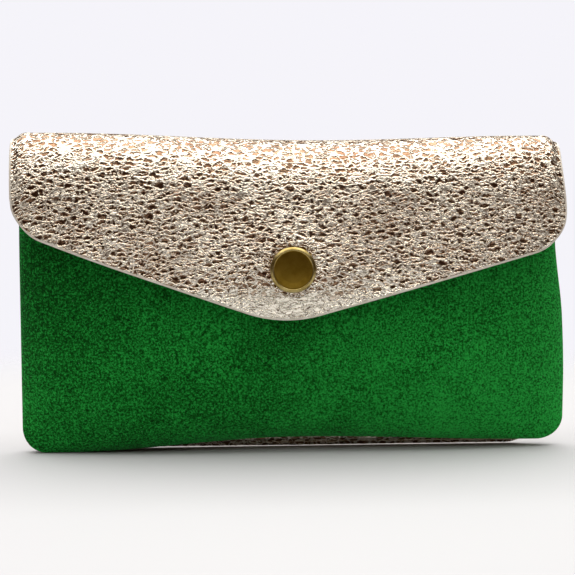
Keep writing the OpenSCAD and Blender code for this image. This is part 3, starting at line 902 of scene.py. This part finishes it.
divider_low, divider_high = box_mm("divider")
divider_t = 0.8
across = np.linspace(divider_low[0], divider_high[0], 121)
up = np.linspace(0, 1, 61)[:, None]
sheet_z = mix(bottom_arch(across) + 1.6 + 4.5 * (np.abs(across) / half_w) ** 24,
              divider_high[2], up)
sheet_x = across * mix(0.965, 1.0, smooth(sheet_z / 8))
sheet_y = seam_line(sheet_z) - divider_t / 2 + 0.12 * np.sin(sheet_x / 15) * up
divider_grid = settle(np.stack([sheet_x, sheet_y, sheet_z], axis=2)) + [0, mid_y, 0]
divider = hide("lining_divider", divider_grid.reshape(-1, 3),
               divider_grid.reshape(-1, 3)[:, [0, 2]], grid_quads(*divider_grid.shape[:2]),
               divider_t, [lining, lining, lining_edge])
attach(divider, "pouch")
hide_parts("divider")

pocket_t = 0.6


def card_pocket(name, node_name):
    """A pocket front: a flat sheet that steps forward from its stitched border, by the depth of
    its CAD box less its own thickness, in a smooth rise 3 mm wide."""
    low, high = box_mm(node_name)
    rows, columns = 57, 97
    x = np.linspace(low[0], high[0], columns)[None, :] + np.zeros((rows, 1))
    z = np.linspace(low[2], high[2], rows)[:, None] + 0 * x
    inside = np.minimum(high[0] - np.abs(x), z - low[2])
    forward = smooth((inside - 2.2) / 3)
    y = mix(high[1] - pocket_t, low[1], forward)
    grid = np.stack([x, y, z], axis=2).reshape(-1, 3)
    piece = hide(name, grid, grid[:, [0, 2]], grid_quads(rows, columns), pocket_t,
                 [lining, lining, lining_edge])
    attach(piece, "pouch")
    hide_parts(node_name)


card_pocket("lining_pocket_rear", "card_pocket_rear")
card_pocket("lining_pocket_front", "card_pocket_front")


# ---- The stitching --------------------------------------------------------------------------
# Bonded polyester thread, seven or eight stitches to the inch. One line holds the seam, one the
# turned mouth edge and one the pockets, and each stitch is a short twisted strand pulled down at
# both ends.
thread_r = 0.25


def thread(name, colour):
    """Twisted thread: fine slanting plies across a soft sheen."""
    material, node, join = new_material(name)
    place = node("TexCoord").outputs["Object"]
    plies = node("TexWave", Scale=520.0, Distortion=1.5, bands_direction="DIAGONAL")
    join(place, plies.inputs["Vector"])
    dark = tuple(channel * 0.55 for channel in colour)
    shade = colour_ramp(node, join, plies.outputs[0], [(0.2, dark), (0.7, colour)])
    surfaced(node, join, shade, plies.outputs[0], 0.6, 0.00012, Roughness=0.55, Sheen_Weight=0.3)
    return material


def stitches(name, path, facing, length, gap, material):
    """A row of stitches along a path. Each is a round strand over its length, its radius falling
    almost to nothing at the ends as a power of one minus the distance squared, and it arches
    0.15 mm off the leather by a cosine. facing is the direction it arches towards."""
    step = np.linalg.norm(np.diff(path, axis=0), axis=1)
    run = np.concatenate([[0], np.cumsum(step)])
    number = int(run[-1] // (length + gap))
    start = np.arange(number) * (run[-1] / number)
    part = np.linspace(-1, 1, 11)
    at = start[:, None] + (part + 1) / 2 * length
    core = np.stack([np.interp(at, run, path[:, axis]) for axis in range(3)], axis=2)
    ahead = np.gradient(core, axis=1)
    ahead /= np.linalg.norm(ahead, axis=2, keepdims=True)
    facing = np.array(facing, dtype=float)
    side = np.cross(ahead, facing)
    side /= np.linalg.norm(side, axis=2, keepdims=True)
    radius = thread_r * np.sqrt(np.clip(1.0004 - part ** 2, 0, None)) ** 0.6
    core = core + facing * (0.15 * np.cos(part * math.pi / 2))[:, None]
    turn = np.linspace(0, 2 * math.pi, 8, endpoint=False)
    ring = (np.cos(turn)[:, None] * side[:, :, None, :]
            + np.sin(turn)[:, None] * (facing + 0 * side)[:, :, None, :])
    points = (core[:, :, None, :] + ring * radius[:, None, None]).reshape(-1, 3)
    rows, sides = len(part), len(turn)
    one = grid_quads(rows, sides)
    wrap = np.arange(rows - 1) * sides
    one = np.concatenate([one, np.stack([wrap + sides - 1, wrap, wrap + sides,
                                         wrap + 2 * sides - 1], axis=1)])
    offset = (np.arange(number) * rows * sides)[:, None, None]
    quads = (one + offset).reshape(-1, 4)
    ends = np.arange(sides)
    first = (ends + offset[:, 0]).tolist()
    last = (ends[::-1] + (rows - 1) * sides + offset[:, 0]).tolist()
    return put_mesh(name, points, quads[:, ::-1].tolist() + first + last, [material], sharp=80)


green_thread = thread("green_thread", (0.012, 0.14, 0.03))
tan_thread = thread("tan_thread", (0.42, 0.30, 0.17))

hem_x = np.linspace(box_mm("hem_thread")[0][0], box_mm("hem_thread")[1][0], 200)
hem_stitch_z = hem_z - 3.5
hem_path = settle(np.stack([hem_x, front_face(hem_x, hem_stitch_z + 0 * hem_x) - 0.02,
                            hem_stitch_z + 0 * hem_x], axis=1)) + [0, mid_y, 0]
hem = stitches("mouth_stitches", hem_path, (0, -1, 0), 2.9, 0.8, green_thread)
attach(hem, "pouch")
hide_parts("hem_thread")

edge_x, edge_z = outline(500)
inner_x = edge_x * (1 - 3.4 / half_w)
inner_z = np.maximum(edge_z, bottom_arch(edge_x) + 3.2)
seam_path = settle(np.stack([inner_x, seam_line(inner_z), inner_z], axis=1)) + [0, mid_y, 0]
seam = stitches("seam_stitches", seam_path, (0, -1, 0), 2.6, 0.7, tan_thread)
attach(seam, "pouch")
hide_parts("seam_thread")

thread_low, thread_high = box_mm("pocket_thread")
pocket_y = box_mm("card_pocket_front")[1][1] - pocket_t - 0.02
down = np.linspace(thread_high[2], thread_low[2], 60)
level = np.linspace(thread_low[0], thread_high[0], 120)
pocket_path = np.concatenate([
    np.stack([thread_low[0] + 0 * down, pocket_y + 0 * down, down], axis=1),
    np.stack([level, pocket_y + 0 * level, thread_low[2] + 0 * level], axis=1)[1:],
    np.stack([thread_high[0] + 0 * down, pocket_y + 0 * down, down[::-1]], axis=1)[1:]])
pocket_row = stitches("pocket_stitches", pocket_path, (0, -1, 0), 2.6, 0.7, tan_thread)
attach(pocket_row, "pouch")
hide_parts("pocket_thread")
